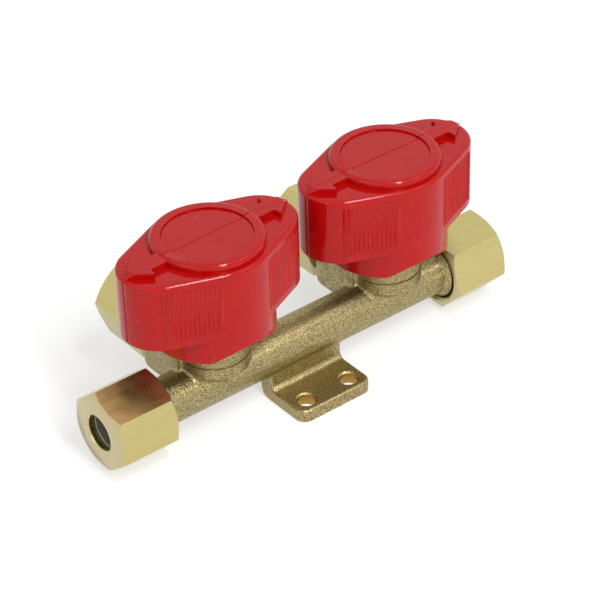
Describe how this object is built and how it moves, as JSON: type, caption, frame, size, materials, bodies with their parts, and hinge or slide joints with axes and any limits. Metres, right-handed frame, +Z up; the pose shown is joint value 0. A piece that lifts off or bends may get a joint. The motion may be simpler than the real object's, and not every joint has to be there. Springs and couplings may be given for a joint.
{
  "type": "two-way gas valve",
  "caption": "Cast brass gas line with quarter-turn plug valves, red lever handles, back branches, hexagon union nuts at every tube port and an angled screw foot below.",
  "frame": {"origin": "midway between the two screw holes of the foot, on the foot's underside", "axes": "+X along the gas line towards the right end, +Y to the back where the branches leave, +Z up along the valve spindles, out of the foot's underside through the handles"},
  "size_m": [0.1093, 0.0483, 0.0482],
  "materials": {
    "cast_brass": "blasted casting, fine grain",
    "machined_brass": "fine turned and brushed",
    "zinc_steel": "zinc plated, satin",
    "stainless": "plain",
    "red_plastic": "moulded, semi-gloss",
    "seal_rubber": "plain",
    "white_plastic": "smooth, slippery"
  },
  "bodies": {
    "manifold": {"manifold_body": "cast_brass", "neck_left": "machined_brass", "neck_right": "machined_brass", "neck_branch_left": "machined_brass", "neck_branch_right": "machined_brass", "thrust_washer_left": "white_plastic", "bonnet_left": "machined_brass", "bonnet_seal_left": "seal_rubber", "thrust_washer_right": "white_plastic", "bonnet_right": "machined_brass", "bonnet_seal_right": "seal_rubber"},
    "handle_left": {"plug_left": "machined_brass", "lower_spring_left": "stainless", "upper_spring_left": "stainless", "spindle_left": "machined_brass", "spindle_seal_left": "seal_rubber", "handle_left": "red_plastic", "handle_screw_left": "zinc_steel", "lock_washer_left": "zinc_steel", "handle_cap_left": "red_plastic"},
    "handle_right": {"plug_right": "machined_brass", "lower_spring_right": "stainless", "upper_spring_right": "stainless", "spindle_right": "machined_brass", "spindle_seal_right": "seal_rubber", "handle_right": "red_plastic", "handle_screw_right": "zinc_steel", "lock_washer_right": "zinc_steel", "handle_cap_right": "red_plastic"},
    "ring_left": {"cutting_ring_left": "zinc_steel"},
    "nut_left": {"union_nut_left": "machined_brass"},
    "ring_right": {"cutting_ring_right": "zinc_steel"},
    "nut_right": {"union_nut_right": "machined_brass"},
    "ring_branch_left": {"cutting_ring_branch_left": "zinc_steel"},
    "nut_branch_left": {"union_nut_branch_left": "machined_brass"},
    "ring_branch_right": {"cutting_ring_branch_right": "zinc_steel"},
    "nut_branch_right": {"union_nut_branch_right": "machined_brass"}
  },
  "joints": [
    {"name": "handle_turn_left", "type": "hinge", "parent": "manifold", "child": "handle_left", "pos_m": [-0.02185, 0.012, 0.0102], "axis": [0, 0, 1], "range_deg": [-1.8, 88.2]},
    {"name": "handle_turn_right", "type": "hinge", "parent": "manifold", "child": "handle_right", "pos_m": [0.02715, 0.012, 0.0102], "axis": [0, 0, 1], "range_deg": [0, 90]},
    {"name": "ring_slide_left", "type": "slide", "parent": "manifold", "child": "ring_left", "axis": [-1, 0, 0], "range_m": [0, 0.003]},
    {"name": "nut_turn_left", "type": "hinge", "parent": "ring_left", "child": "nut_left", "pos_m": [-0.03785, 0.012, 0.0102], "axis": [-1, 0, 0], "range_deg": [0, 720]},
    {"name": "ring_slide_right", "type": "slide", "parent": "manifold", "child": "ring_right", "axis": [1, 0, 0], "range_m": [0, 0.003]},
    {"name": "nut_turn_right", "type": "hinge", "parent": "ring_right", "child": "nut_right", "pos_m": [0.04105, 0.012, 0.0102], "axis": [1, 0, 0], "range_deg": [0, 720]},
    {"name": "ring_slide_branch_left", "type": "slide", "parent": "manifold", "child": "ring_branch_left", "axis": [0, 1, 0], "range_m": [0, 0.003]},
    {"name": "nut_turn_branch_left", "type": "hinge", "parent": "ring_branch_left", "child": "nut_branch_left", "pos_m": [-0.02185, 0.02945, 0.01547], "axis": [0, 1, 0], "range_deg": [0, 720]},
    {"name": "ring_slide_branch_right", "type": "slide", "parent": "manifold", "child": "ring_branch_right", "axis": [0, 1, 0], "range_m": [0, 0.003]},
    {"name": "nut_turn_branch_right", "type": "hinge", "parent": "ring_branch_right", "child": "nut_branch_right", "pos_m": [0.02715, 0.02945, 0.01547], "axis": [0, 1, 0], "range_deg": [0, 720]}
  ],
  "couplings": [
    {"joint": "ring_slide_left", "follows": "nut_turn_left", "m_per_rad": 0.00023873},
    {"joint": "ring_slide_right", "follows": "nut_turn_right", "m_per_rad": 0.00023873},
    {"joint": "ring_slide_branch_left", "follows": "nut_turn_branch_left", "m_per_rad": 0.00023873},
    {"joint": "ring_slide_branch_right", "follows": "nut_turn_branch_right", "m_per_rad": 0.00023873}
  ]
}
